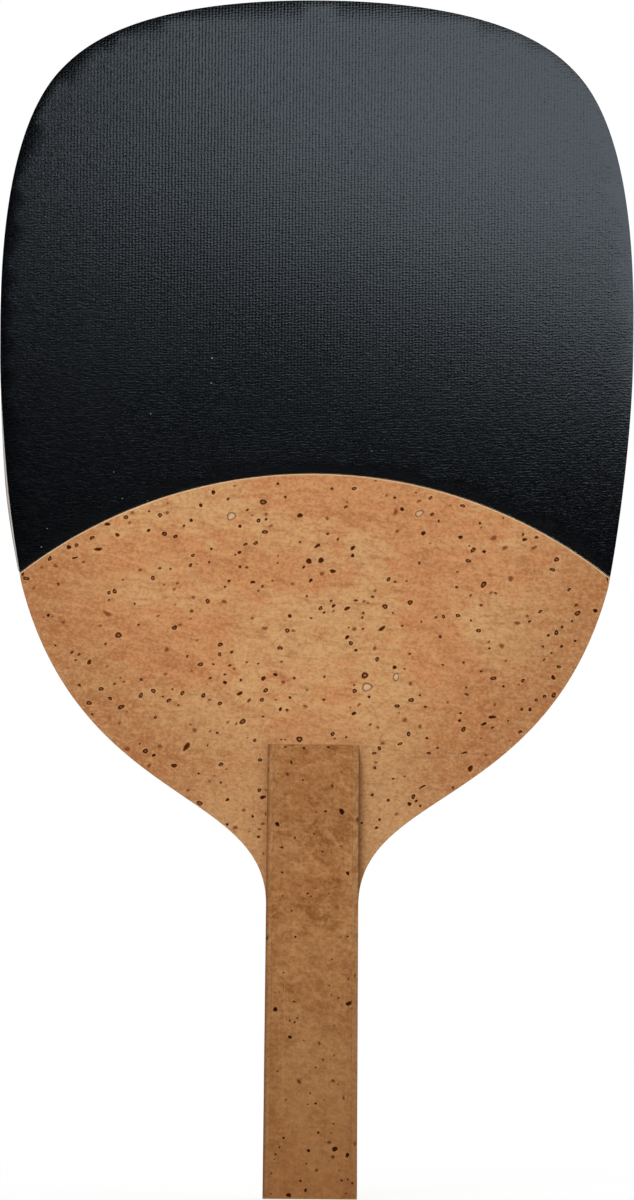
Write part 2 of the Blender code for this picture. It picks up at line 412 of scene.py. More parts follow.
class Finish:
    # A material, or a world, being made: each call adds nodes and gives back an output
    def __init__(self, owner):
        owner.use_nodes = True
        self.owner, self.tree = owner, owner.node_tree
        self.place = self.add("TexCoord", {}, "Object")

    def feed(self, socket, value):
        if isinstance(value, bpy.types.NodeSocket):
            self.tree.links.new(value, socket)
        else:
            socket.default_value = value

    def add(self, kind, inputs, output=0, **settings):
        node = self.tree.nodes.new("ShaderNode" + kind)
        for key, value in settings.items():
            setattr(node, key, value)
        for key, value in inputs.items():
            self.feed(node.inputs[key], value)
        return node.outputs[output]

    def spread(self, scale, tilt=0.0, shift=(0.0, 0.0, 0.0)):
        # Coordinates in repeats per millimetre along each axis, turned in the plane of the face
        turn = {"Vector": self.place, "Rotation": (0, np.radians(tilt), 0), "Location": shift}
        inputs = {"Vector": self.add("Mapping", turn), "Scale": tuple(s / metre for s in scale)}
        return self.add("Mapping", inputs)

    def noise(self, scale, detail=2.0, rough=0.5, distortion=0.0, **lie):
        inputs = {"Vector": self.spread(scale, **lie), "Scale": 1.0, "Detail": detail, "Roughness": rough}
        return self.add("TexNoise", inputs | {"Distortion": distortion})

    def wave(self, scale, period, direction, distortion, detail=2.0, profile="SIN", bend=1.0, **lie):
        # The texture's own period is pi / 10 over its scale
        inputs = {"Vector": self.spread(scale, **lie), "Scale": np.pi / 10 / period}
        inputs |= {"Distortion": distortion, "Detail": detail, "Detail Scale": bend}
        settings = {"wave_type": "BANDS", "bands_direction": direction, "wave_profile": profile}
        return self.add("TexWave", inputs, 1, **settings)

    def cells(self, size):
        return self.add("TexVoronoi", {"Vector": self.spread((size, size, size)), "Scale": 1.0})

    def distance(self, point):
        return self.add("VectorMath", {0: self.place, 1: point}, 1, operation="DISTANCE")

    def attribute(self, name):
        return self.add("Attribute", {}, attribute_name=name).node.outputs

    def between(self, value, low, high, first=0.0, last=1.0, easing="SMOOTHSTEP"):
        # first below low, last above high, and eased between them
        inputs = {"Value": value, "From Min": low, "From Max": high, "To Min": first, "To Max": last}
        return self.add("MapRange", inputs, interpolation_type=easing)

    def maths(self, operation, *values):
        return self.add("Math", dict(enumerate(values)), operation=operation)

    def total(self, start, *terms):
        # The start plus each value times its weight
        for value, weight in terms:
            start = self.maths("MULTIPLY_ADD", value, weight, start)
        return start

    def blend(self, share, first, second):
        return self.add("Mix", {0: share, 6: first, 7: second}, 2, data_type="RGBA")

    def over(self, colour, value, low, high, share, shade, calm=None):
        # The shade laid over the colour, from none at low to its share at high
        amount = self.between(value, low, high, 0.0, share)
        if calm is not None:
            amount = self.maths("MULTIPLY", amount, calm)
        return self.blend(amount, colour, shade)

    def relief(self, height, depth):
        # depth is the height in millimetres of a step from 0 to 1
        return self.add("Bump", {"Height": height, "Distance": depth * metre})

    def wear(self, **sockets):
        for key, value in sockets.items():
            self.feed(self.tree.nodes["Principled BSDF"].inputs[key.replace("_", " ")], value)
        return self.owner


def newFinish(name):
    return Finish(bpy.data.materials.new(name))


# What all the cork has in common
corkBase = {
    "mottleScale": (0.20, 0.35, 0.32), "stainWeight": 0.22, "stainShare": 0.4, "reliefDepth": 0.02,
    "shine": 0.1, "tint": (1.0, 0.85, 0.65, 1.0),
}


def corkFinish(name, look):
    # Bands, mottle and the stains of the mesh choose between yellow and red; patches add tan and
    # deep. Long streaks and two sizes of grain, darker and lighter, lie over them and are calmer
    # away from the heart. The marks' own colours come from the mesh.
    finish = newFinish(name)
    look = corkBase | look
    tilt = look["tilt"]
    bands = finish.noise(look["bandScale"], 4.0, 0.55, 0.6, tilt=tilt)
    patches = finish.noise(look["patchScale"], 5.0, 0.6, 0.8, tilt=tilt, shift=(0.3, 0, 0.1))
    mottle = finish.noise(look["mottleScale"], 3.0, 0.6, 0.8, tilt=tilt, shift=(0.1, 0, 0.5))
    streaks = finish.noise(look["streakScale"], 3.0, 0.6, 0.5, tilt=tilt + 8)
    smears = finish.noise(look["smearScale"], 3.0, 0.55, 0.8, tilt=tilt - 4, shift=(0, 0.1, 0.2))
    coarse = finish.noise((0.45, 0.5, 0.75), 3.0, 0.65, 0.4, tilt=tilt)
    grain = finish.noise((1.35, 1.5, 1.8), 2.0, 0.65, tilt=tilt)
    scratches = finish.noise((3.2, 3.2, 0.06), 1.0, 0.4, 0.1, tilt=0.6)
    heart, glow = (finish.distance((0.0, 0.0, look[key])) for key in ("heart", "glowPlace"))
    calm = finish.between(heart, *look["heartReach"], 1.0, look["farContrast"])
    stain = finish.attribute("stain")["Fac"]

    weights = (bands, look["bandShare"]), (mottle, look["mottleShare"]), (stain, look["stainWeight"])
    hue = finish.total(0.5 - 0.5 * (look["bandShare"] + look["mottleShare"]), *weights)
    colour = finish.blend(finish.between(hue, *look["hueReach"]), look["yellow"], look["red"])
    # Each layer of colour: its field, where it starts and is full, its share and its shade
    for field, low, high, share, shade, *stillness in (
        (patches, 0.44, 0.64, "tanShare", "tan"), (patches, 0.48, 0.32, "deepShare", "deep"),
        (stain, 0.55, 1.25, "stainShare", "deep"),
        (streaks, 0.5, 0.68, "streakShare", "streak", calm),
        (smears, 0.52, 0.7, "smearShare", "light", calm),
        # Away from the heart the colour darkens: painted shade
        (heart, *look["heartReach"], "awayShadeShare", "away"), (glow, *look["glowReach"], "glowShare", "glow"),
        (coarse, 0.52, 0.32, "coarseShare", "grit", calm), (coarse, 0.48, 0.68, "coarseShare", "light", calm),
        (grain, 0.52, 0.32, "grainShare", "grit", calm), (grain, 0.48, 0.68, "grainShare", "light", calm),
        (scratches, 0.63, 0.72, "scratchShare", "light"),
    ):
        colour = finish.over(colour, field, low, high, look[share], look[shade], *stillness)

    speck, chance = finish.cells(1.5), finish.noise((0.3, 0.3, 0.3), shift=(0, 0.2, 0))
    specks = finish.maths("MULTIPLY", finish.between(speck, 0.26, 0.10), finish.between(chance, 0.46, 0.60))
    marks = finish.attribute("marks")
    dark, red, halo = finish.add("SeparateColor", {"Color": marks["Color"]}).node.outputs
    pore = finish.blend(finish.between(coarse, 0.35, 0.65), look["pore"], look["poreWarm"])
    # The red channel's painted shade and the pale channel's painted highlights are laid on here with the
    # marks
    for field, share, shade in (
        (specks, 0.55, look["speck"]), (halo, look["haloShare"], look["halo"]), (red, 0.8, look["blur"]),
        (dark, 1.0, pore), (marks["Alpha"], 0.6, look["pale"]),
    ):
        colour = finish.blend(finish.maths("MULTIPLY", field, share), colour, shade)

    bump = finish.relief(finish.total(0.0, (grain, 0.5), (streaks, 0.6), (specks, -1.0)), look["reliefDepth"])
    rough = finish.between(grain, 0.3, 0.7, look["roughness"] - 0.06, look["roughness"] + 0.08)
    return finish.wear(
        Base_Color=colour, Roughness=rough, Normal=bump,
        Specular_IOR_Level=look["shine"], Specular_Tint=look["tint"],
    )


def woodFinish(name, look):
    # Growth lines are a sawtooth wave across the grain, bent by noise and fainter in places; fibres,
    # broad tints and vessels are noise drawn out along the grain
    finish = newFinish(name)
    upright = look["grain"] == "Z"
    scale = np.array((1.0, 1.0, look["stretch"]) if upright else (look["stretch"], 1.0, 1.0))
    lines = finish.wave(scale, look["period"], "X" if upright else "Z", 14.0, 3.0, "SAW", 0.35)
    fibres = finish.noise(5.0 * scale, 4.0, 0.6)
    broad = finish.noise(0.12 * scale, 3.0)
    vessels = finish.noise(9.0 * scale, 1.0, 0.4, shift=(0.1, 0, 0))
    faint = finish.between(finish.noise(0.3 * scale, shift=(0, 0, 0.2)), 0.3, 0.7, 0.35, 1.0)
    lines = finish.maths("MULTIPLY", finish.between(lines, 0.1, 0.95), faint)
    colour = finish.blend(lines, look["light"], look["line"])
    colour = finish.over(colour, broad, 0.35, 0.68, 0.6, look["warm"])
    colour = finish.over(colour, fibres, 0.42, 0.75, 0.45, look["fibre"])
    pores = finish.between(vessels, 0.64, 0.74, 0.0, look["vesselShare"])
    colour = finish.blend(pores, colour, look["vessel"])
    bump = finish.relief(finish.total(0.0, (fibres, 0.6), (pores, -1.0)), 0.02)
    rough = finish.between(fibres, 0.3, 0.7, look["roughness"] - 0.08, look["roughness"] + 0.08)
    return finish.wear(Base_Color=colour, Roughness=rough, Normal=bump, Specular_IOR_Level=0.35)


def rubberFinish(name, look):
    # The print of a cloth: upright threads, strongest about one place, and short wavy ripples
    # across, weaker there
    finish = newFinish(name)
    threads = finish.wave((1.0, 1.0, 1.0), look["thread"], "X", 1.2)
    woven = finish.between(finish.distance(look["weavePlace"]), *look["weaveReach"], 1.0, 0.08)
    ripples = finish.noise((0.9, 1.0, 2.2), 2.0, 0.6, 0.8, tilt=3.0)
    weft = finish.wave((1.0, 1.0, 1.0), look["ripple"], "Z", 4.0, 3.0, tilt=2.0)
    slow = finish.noise((0.03, 0.03, 0.05))
    fine = finish.noise((2.4, 2.4, 2.4), 1.0)
    height = finish.total(
        0.0, (threads, finish.maths("MULTIPLY", woven, 0.46)),
        (ripples, finish.maths("MULTIPLY_ADD", woven, -0.6, 1.2)), (weft, 0.15), (fine, 0.5),
    )
    colour = finish.blend(finish.between(height, 0.85, 1.25), look["deep"], look["light"])
    dusty = finish.maths("MULTIPLY", finish.attribute("marks")["Alpha"], 0.8)
    colour = finish.blend(dusty, colour, look["dust"])
    worn = finish.between(slow, 0.3, 0.7, look["roughness"] - 0.01, look["roughness"] + 0.01)
    rough = finish.maths("ADD", worn, finish.between(height, 0.8, 1.5, 0.03, -0.03))
    return finish.wear(
        Base_Color=colour, Roughness=rough, Normal=finish.relief(height, look["reliefDepth"]),
        Specular_IOR_Level=look["shine"], Specular_Tint=look["tint"],
    )


def foamFinish(name, look):
    # Small open cells: two sizes of Voronoi cell, the larger dark in its middle
    finish = newFinish(name)
    cells, fine = finish.cells(5.0), finish.cells(11.0)
    tint = finish.noise((0.3, 0.3, 0.3), 3.0)
    depth = finish.add("SeparateXYZ", {0: finish.place}, 1)
    colour = finish.blend(finish.between(tint, 0.35, 0.65), look["light"], look["warm"])
    colour = finish.over(colour, cells, 0.45, 0.15, 0.5, look["hole"])
    # Painted shade: the sponge goes darker towards its lower outer edge, by depth
    colour = finish.over(colour, depth, *look["paintedShadeReach"], 0.75, look["grime"])
    bump = finish.relief(finish.total(0.0, (cells, 1.0), (fine, 0.5)), 0.08)
    rough = finish.between(fine, 0.1, 0.6, 0.8, 0.95)
    return finish.wear(Base_Color=colour, Roughness=rough, Normal=bump, Specular_IOR_Level=0.2)


woods = {"face": woodFinish("faceWood", {
    "grain": "Z", "stretch": 0.03, "period": 1.5, "roughness": 0.5,
    "light": tone(226, 196, 152), "line": tone(206, 166, 116), "warm": tone(214, 174, 124),
    "fibre": tone(196, 156, 108), "vessel": tone(150, 108, 68), "vesselShare": 0.35,
}), "cross": woodFinish("crossWood", {
    "grain": "X", "stretch": 0.04, "period": 1.1, "roughness": 0.6,
    "light": tone(176, 132, 88), "line": tone(142, 100, 64), "warm": tone(160, 114, 72),
    "fibre": tone(128, 88, 54), "vessel": tone(84, 54, 32), "vesselShare": 0.5,
}), "core": woodFinish("coreWood", {
    "grain": "Z", "stretch": 0.03, "period": 2.2, "roughness": 0.6,
    "light": tone(228, 202, 164), "line": tone(210, 176, 132), "warm": tone(218, 184, 138),
    "fibre": tone(198, 162, 118), "vessel": tone(160, 120, 80), "vesselShare": 0.3,
}), "block": woodFinish("blockWood", {
    "grain": "Z", "stretch": 0.03, "period": 1.8, "roughness": 0.55,
    "light": tone(214, 180, 134), "line": tone(190, 150, 102), "warm": tone(200, 158, 108),
    "fibre": tone(180, 138, 92), "vessel": tone(138, 98, 62), "vesselShare": 0.35,
})}
sheetCork = corkFinish("sheetCork", {
    "bandScale": (0.022, 0.05, 0.050), "patchScale": (0.10, 0.2, 0.22), "tilt": -10.0,
    "streakScale": (0.12, 0.5, 1.1), "smearScale": (0.09, 0.4, 0.60),
    "bandShare": 0.4, "mottleShare": 0.5, "hueReach": (0.43, 0.57),
    "heart": 0.150, "heartReach": (0.042, 0.066), "away": tone(154, 97, 59), "awayShadeShare": 0.52,
    "glowPlace": 0.075, "glowReach": (0.033, 0.018), "glow": tone(216, 172, 120),
    "glowShare": 0.42, "farContrast": 1.0, "tanShare": 0.35,
    "yellow": tone(209, 160, 109), "red": tone(202, 137, 89), "tan": tone(202, 149, 100),
    "deep": tone(168, 102, 62), "light": tone(218, 170, 118), "streak": tone(168, 108, 66),
    "grit": tone(146, 92, 52), "speck": tone(118, 64, 30), "halo": tone(224, 182, 130),
    "blur": tone(138, 70, 34), "pore": tone(58, 16, 0), "poreWarm": tone(92, 38, 0),
    "pale": tone(226, 198, 162), "deepShare": 0.5, "streakShare": 0.42, "smearShare": 0.34,
    "coarseShare": 0.22, "grainShare": 0.33, "haloShare": 0.5, "scratchShare": 0.0, "roughness": 0.55,
})
handled = {
    "bandScale": (0.06, 0.05, 0.045), "patchScale": (0.13, 0.2, 0.15), "tilt": -14.0,
    "streakScale": (0.24, 0.5, 0.42), "smearScale": (0.20, 0.4, 0.26),
    "bandShare": 1.0, "mottleShare": 0.3, "hueReach": (0.38, 0.60),
    "heart": 0.085, "heartReach": (0.020, 0.085), "away": tone(128, 80, 42), "awayShadeShare": 0.44,
    "glowPlace": 0.030, "glowReach": (0.030, 0.010), "glow": tone(166, 120, 76),
    "glowShare": 0.35, "farContrast": 0.5, "tanShare": 0.65,
    "yellow": tone(178, 127, 79), "red": tone(163, 108, 64), "tan": tone(169, 118, 73),
    "deep": tone(128, 76, 34), "light": tone(196, 144, 98), "streak": tone(126, 76, 36),
    "grit": tone(118, 70, 32), "speck": tone(92, 46, 16), "halo": tone(190, 142, 92),
    "blur": tone(98, 48, 18), "pore": tone(42, 10, 0), "poreWarm": tone(66, 26, 2),
    "pale": tone(186, 138, 92), "deepShare": 0.7, "streakShare": 0.6, "smearShare": 0.6,
    "coarseShare": 0.24, "grainShare": 0.34, "haloShare": 0.4, "scratchShare": 0.2, "roughness": 0.52,
}
gripCork = corkFinish("gripCork", handled)
cheekCork = corkFinish("cheekCork", {
    **handled, "yellow": tone(174, 130, 84), "red": tone(164, 115, 72), "tan": tone(168, 122, 78),
    "deepShare": 0.35, "streakShare": 0.45, "streakScale": (1.7, 1.7, 0.05), "smearScale": (1.3, 1.3, 0.04),
})
smoothRubber = rubberFinish("smoothRubber", {
    "thread": 0.70, "ripple": 0.58, "weavePlace": (0.006, 0.0, 0.222), "weaveReach": (0.028, 0.080),
    "reliefDepth": 0.045, "roughness": 0.20, "shine": 0.4, "tint": (0.775, 0.895, 1.0, 1.0),
    "deep": tone(0, 0, 1), "light": tone(11, 12, 15), "dust": tone(214, 212, 206),
})
paleFoam = foamFinish("paleFoam", {
    "light": tone(210, 204, 196), "warm": tone(200, 192, 182), "hole": tone(158, 150, 142),
    "grime": tone(136, 134, 120), "paintedShadeReach": (-0.00455, -0.0043),
})
print("finishes made")

# The plans of the racket's flat layers
side = rightSide()
cornerToMiddle = evenly(np.array([outline["corner"], (0.0, 0.0)]), outline["step"])[1:]
bladePlan = closedPlan(np.vstack([side, cornerToMiddle]))
above, _ = cutByArc(side, outline["rubberRadius"])
rubberPlan = closedPlan(np.vstack([above, arcPath(above[-1], outline["rubberRadius"])[1:]]))
_, below = cutByArc(side, outline["corkRadius"])
lowerEdge = np.vstack([below[1:], cornerToMiddle])
corkPlan = closedPlan(np.vstack([arcPath(below[0], outline["corkRadius"])[::-1], lowerEdge]))
print("plans drawn:", len(bladePlan), len(rubberPlan), len(corkPlan), "points")

# Blade: five plies, sanded flush together; the back's edge is eased most
plies = {
    "eased": rounding(0.06, 2),
    "backEased": rounding(0.45, 5),
    "pieces": [
        ("core_ply", "core", 1), ("front_cross_ply", "cross", 1), ("back_cross_ply", "cross", -1),
        ("front_face_ply", "face", 1), ("back_face_ply", "face", -1),
    ],
}
for node, layer, facing in plies["pieces"]:
    low, high = layers[layer]
    rim = plies["backEased" if node == "back_face_ply" else "eased"]
    shape = plateShape(bladePlan, high, low, rim, plies["eased"])
    makePiece(node, layer + "_wood", woods[layer], *shape, facing=facing)

# Sponge: it stands proud of the blade low on the left, where a strip of it shows beside the rubber
sponge = {
    "proud": 0.58, "proudMiddle": 149.0, "proudReach": 14.5,
    "strip": 0.52, "stripMiddle": 149.0, "stripReach": 18.0,
    "trim": 0.02,  # how far the rubber stops short of the sponge elsewhere
    "edge": [(1.0, 0.0), (0.42, 0.10), (0.2, 0.5), (0.0, 1.2)],
}


def alongLeft(plan, middle, reach):
    # A bell down the left edge above the arc: e to the power of minus the square of the distance
    # from its middle over its reach
    x, z = plan.T
    offArc = np.hypot(x, z - outline["arcCentre"]) > outline["rubberRadius"] + 0.2
    return np.exp(-(((z - middle) / reach) ** 2)) * ((x < -40) & offArc)


proud = sponge["proud"] * alongLeft(rubberPlan, sponge["proudMiddle"], sponge["proudReach"])
strip = sponge["trim"] + sponge["strip"] * alongLeft(rubberPlan, sponge["stripMiddle"], sponge["stripReach"])
low, high = layers["sponge"]
shape = plateShape(inset(rubberPlan, -proud), high, low, sponge["edge"], share=strip)
spongeSheet = makePiece("sponge_sheet", "sponge", paleFoam, *shape)

# Rubber: a smooth sheet with pimples under it, cut off flush where the edge crosses them
rubberSheet = {
    "eased": 0.08,
    "pimpleSpacing": 2.2, "pimpleRadius": 0.78, "pimpleRoot": 1.02, "sides": 8,
    "flecks": {"fleck": [
        (-22.4, 180.1, 0.16, 1.6, 20), (-22.5, 174.7, 0.15, 1.2, 0), (-43.3, 155.5, 0.12, 1.5, 60),
        (-41.4, 149.8, 0.12, 1.3, 10), (-36, 149.4, 0.1, 1.2, 0), (-57.5, 143.2, 0.12, 1.1, 0),
        (-35.5, 168, 0.1, 2.5, 80), (49, 214, 0.12, 1.4, 40), (12, 160.4, 0.1, 1.2, 0),
        (-58.7, 139.3, 0.12, 1.1, 0),
    ]},
}
rubberEdge = inset(rubberPlan, strip - proud)
low, high = layers["rubber"]
rim = rounding(rubberSheet["eased"], 3)
corners, faces, fields = plateShape(rubberEdge, high, low, rim, marks=markRows(rubberSheet["flecks"]))


def pimpleField(plan, look, low, high):
    # Three rings of sides about each point of a honeycomb: the foot on the sponge, the neck, and the
    # wider root in the sheet. A corner that falls outside the plan moves to its edge.
    reach, sides = look["pimpleSpacing"], look["sides"]
    centres = keepInside(honeycomb(plan.min(0) - reach, plan.max(0) + reach, reach), plan, 0.25)
    turn = np.linspace(0, 2 * np.pi, sides + 1)[:-1]
    circle = np.stack([np.cos(turn), np.sin(turn)], axis=1)
    radii = np.array((look["pimpleRadius"], look["pimpleRadius"] * 1.02, look["pimpleRoot"]))
    heights = (low, low + 0.62 * (high - low), high)
    rings = (centres[:, None, None] + radii[:, None, None] * circle).reshape(-1, 2)
    place, _, within = nearest(rings, plan)
    rings = np.where(within[:, None], rings, place)
    level = np.tile(np.repeat(heights, sides), len(centres))
    ring = np.arange(sides)
    after = np.roll(ring, -1)
    band = np.stack([after, ring, ring + sides, after + sides], axis=1)
    starts = np.arange(len(centres))[:, None, None] * 3 * sides
    walls = (np.vstack([band, band + sides]) + starts).reshape(-1, 4)
    feet = (ring + starts).reshape(-1, sides)
    roots = (ring[::-1] + 2 * sides + starts).reshape(-1, sides)
    return np.column_stack([rings, level]), [*walls.tolist(), *feet.tolist(), *roots.tolist()], len(centres)


pimples, pimpleFaces, pimpleCount = pimpleField(rubberEdge, rubberSheet, *layers["pimples"])
faces += [[corner + len(corners) for corner in face] for face in pimpleFaces]
corners = np.vstack([corners, pimples])
fields = np.vstack([fields, np.zeros((len(pimples), len(markChannels)))])
makePiece("rubber_topsheet", "rubber", smoothRubber, corners, faces, fields)
print("pimples:", pimpleCount)

# Cork sheet, with the pores that stand out in their own places and the rest at random
sheetMarks = {
    "ring": [
        (-42, 120.5, 0.72, 1.4, 10), (-15.2, 102.2, 0.66, 1.7, 30), (10.9, 112.3, 0.77, 1.4, 30),
        (36.2, 132, 0.7, 1.4, 60), (-11.2, 149.3, 0.72, 1.6, 170), (-24.3, 84.6, 0.6, 1.2, 170),
        (-36, 95.7, 0.6, 1.1, 60), (56.4, 126, 0.64, 1.5, 20), (-10.8, 142.9, 0.58, 1.5, 0),
        (-5.8, 121.8, 0.54, 1.1, 50), (-41.3, 105.1, 0.62, 1.6, 20), (-61.9, 132.5, 0.58, 1.6, 170),
        (20.9, 107.1, 0.57, 1.3, 20), (-32.3, 142.3, 0.56, 1.1, 130), (38.5, 111.9, 0.56, 1.6, 10),
        (-37.1, 107.6, 0.56, 1.5, 50), (-23.7, 107.7, 0.52, 1.3, 40), (-30, 122.2, 0.56, 1.4, 10),
        (-48.2, 105.9, 0.58, 1.6, 160), (-42.9, 129.9, 0.53, 1.1, 120), (-34.7, 132.8, 0.5, 1.4, 100),
        (-33.3, 146.3, 0.5, 1.2, 60), (21.5, 86.4, 0.5, 1.2, 60), (35.2, 122.1, 0.5, 1.4, 10),
        (-19.8, 93, 0.5, 1.2, 30), (20.4, 99.8, 0.5, 1.2, 100), (-40.6, 145.8, 0.52, 1.1, 20),
        (13.5, 115.8, 0.5, 1.1, 80), (-28.2, 108.2, 0.5, 1.2, 50), (51.9, 121.8, 0.55, 1.2, 60),
        (-3, 98.5, 0.72, 1.1, 50), (-12.6, 98.2, 0.42, 1.1, 10), (4.1, 99.7, 0.5, 1.1, 30),
        (-11.4, 94, 0.46, 1.1, 0), (-11.5, 87.5, 0.46, 1.1, 0), (13.2, 92.5, 0.38, 1.2, 100),
        (14.1, 96.7, 0.46, 1.2, 90),
    ],
    "solid": [
        (-27.2, 96.7, 0.8, 2.6, 50), (1.3, 136.9, 0.66, 1.4, 30), (-1.3, 136.7, 0.66, 1.3, 130),
        (-46.5, 138.9, 0.6, 2.6, 10), (14.5, 122.4, 0.6, 2.8, 40), (38.3, 103.6, 0.6, 2.3, 0),
        (23.4, 88.5, 0.42, 4.6, 30), (-51.5, 137, 0.42, 3.2, 10), (32.4, 95.9, 0.42, 4.6, 10),
        (33.7, 92.5, 0.66, 1.7, 70), (-21.9, 151.3, 0.5, 1.2, 60), (23.2, 142.9, 0.54, 1.1, 10),
        (51.3, 112.2, 0.52, 1.7, 130), (0.5, 140, 0.52, 2.1, 40), (-15.9, 108.2, 0.55, 2, 20),
        (36.5, 102.1, 0.5, 2, 30), (60.2, 126.6, 0.5, 1.2, 10), (18.6, 148, 0.48, 1, 160),
        (44.9, 141.7, 0.48, 1.8, 20), (-42.4, 142, 0.48, 1.2, 0), (8.1, 139.6, 0.5, 1.9, 50),
        (12.7, 86.7, 0.36, 1.3, 60), (14.3, 81.4, 0.32, 1.2, 90), (-6.9, 98.4, 0.24, 1.2, 0),
    ],
    "blur": [
        (-44.5, 125.1, 0.72, 2.1, 150), (38.3, 142, 0.66, 1.4, 40), (42, 133.3, 0.63, 1.1, 100),
        (-39.9, 96.1, 0.6, 1.1, 20), (17.2, 147.4, 0.6, 1.9, 80), (40.7, 139.9, 0.56, 1.4, 20),
        (-31.6, 117.5, 0.56, 1.3, 40), (-19.4, 127.9, 0.56, 1.4, 170), (47, 140, 0.55, 2.2, 30),
        (-10.1, 82.4, 0.4, 1.4, 90), (-10.7, 80.3, 0.5, 1.3, 30), (-10.1, 87.5, 0.36, 1.2, 0),
    ],
    "stone": [
        (-18, 146.2, 0.95, 1.5, 30), (22.3, 147.1, 0.85, 1.4, 20), (11.4, 109.8, 1.05, 1.1, 0),
        (17.6, 112, 0.8, 1.2, 60),
    ],
}
corkSheet = {
    "eased": 0.08,
    "rim": ((0.0, 0.2, 0.34), (1.0, 1.0, 0.0)),  # painted highlight along the arc's edge
    "grime": ((0.0, 0.3, 0.7), (0.5, 0.35, 0.0)),  # painted shadow beside the grip's left side
    "dusk": ((0.0, 1.5, 7.0), (0.22, 0.14, 0.0)),  # darker just above the grip
    "scatter": {"count": 330, "sizes": (0.21, 0.64), "kinds": (0.38, 0.30, 0.32), "seed": 11},
    # Broad stains: x, z, long and short radius, tilt, and strength, redder above 0 and yellower below
    "stains": [
        (29, 142, 24, 9, -25, 0.6), (-11, 135, 14, 5, -5, 0.7), (-44, 138, 17, 2, 12, 0.9),
        (-55, 122, 6, 4, 0, 1.1), (-32, 118, 13, 6, -30, 1.15), (29, 117, 18, 5, -65, 1.05),
        (59, 128, 5, 6, 0, 0.3), (48, 111, 9, 5, -50, 0.3), (-14, 83, 4, 4, 0, 0.5),
        (-44, 105, 4, 3, 0, 0.4), (-3, 151, 20, 3, 0, 0.15), (-4, 100, 5, 2, 0, 0.8),
        (-1, 122, 17, 8, 0, -0.6), (-38, 130, 6, 4.5, 0, -0.7), (38, 121, 7.5, 5, -20, -0.9),
        (16, 94, 6, 18, 0, -0.6), (-20, 103, 9, 8, 0, -0.5), (12, 137, 4, 8, 0, -0.5),
        (-25, 147, 6, 3, 20, -0.4),
    ],
}
placed = scatterMarks(
    corkPlan, corkSheet["scatter"], markRows(sheetMarks),
    keepOff=lambda p: (np.abs(p[:, 0]) < 10.2) & (p[:, 1] < 98.0),  # under the grip
)
low, high = layers["cork"]
beside = np.array([[turn * (halfGrip(z) + out), z] for turn in (-1, 1) for out in (0.0, 0.3, 0.7)
                   for z in np.arange(63.5, 97.4, 0.8)])
rim = [(0.34, 0.0), (0.2, 0.0), *rounding(corkSheet["eased"], 2)]
corners, faces, fields = plateShape(corkPlan, high, low, rim, marks=placed, inner=beside, spacing=2.5)
# Painted highlight: a pale band along the arc's edge, in the pale channel
arcGap = outline["corkRadius"] - np.hypot(corners[:, 0], corners[:, 1] - outline["arcCentre"])
fields[:, 3] = np.maximum(fields[:, 3], np.interp(arcGap, *corkSheet["rim"]) * (corners[:, 1] > 100))
gripGap = np.abs(corners[:, 0]) - halfGrip(corners[:, 1])
# Painted shadow on the sheet along the foot of the grip's left side, in the red channel
paintedShadowBesideGrip = np.interp(gripGap, *corkSheet["grime"]) * (corners[:, 1] < grip["length"]) * (corners[:, 0] < 0)
# Darker on the sheet just above the grip, in the red channel
darkerAboveGrip = np.interp(corners[:, 1] - grip["length"], *corkSheet["dusk"]) * (np.abs(corners[:, 0]) < 11)
fields[:, 1] = np.maximum.reduce([fields[:, 1], paintedShadowBesideGrip, darkerAboveGrip])
sheet = makePiece("cork_sheet", "sheet_cork", sheetCork, corners, faces, fields)
setField(sheet, "stain", stainField(corners[:, :2], corkSheet["stains"]))


def rampProfile(length, run, crest, foot):
    # Height along the grip: flat to the crest, then a Bezier curve down to the foot
    ease = run / 3
    a, d = np.array((length - run, crest)), np.array((length, foot))
    down = np.radians(grip["footAngle"])
    b, c = a + (ease, 0), d - ease * np.array((np.cos(down), -np.sin(down)))
    curve = bezier(a, b, c, d, 40)
    return lambda x, z: np.interp(z, curve[:, 0], curve[:, 1])


def beneath(top, depth, floor):
    # A depth below the top, and never below the floor
    return lambda x, z: np.maximum(top(x, z) - depth, floor)


def rampRows(low, high, step):
    # Points over a ramp: rows a step apart, with a millimetre between the points of a row
    x, z = np.meshgrid(np.arange(-9.5, 9.6, 1.0), np.arange(low, high, step))
    return np.stack([x.ravel(), z.ravel()], axis=1)


def gripPlan(outer, length, inner=None):
    # Four straight sides: between two distances from the middle line, each a function of height,
    # the inner one opposite to the outer if none is given
    inner = inner or (lambda z: -outer(z))
    loop = [(inner(length), length), (inner(0.0), 0.0), (outer(0.0), 0.0), (outer(length), length)]
    stretches = [evenly(np.array([a, b]), 0.8)[:-1] for a, b in zip(loop, loop[1:] + loop[:1])]
    return np.vstack(stretches)


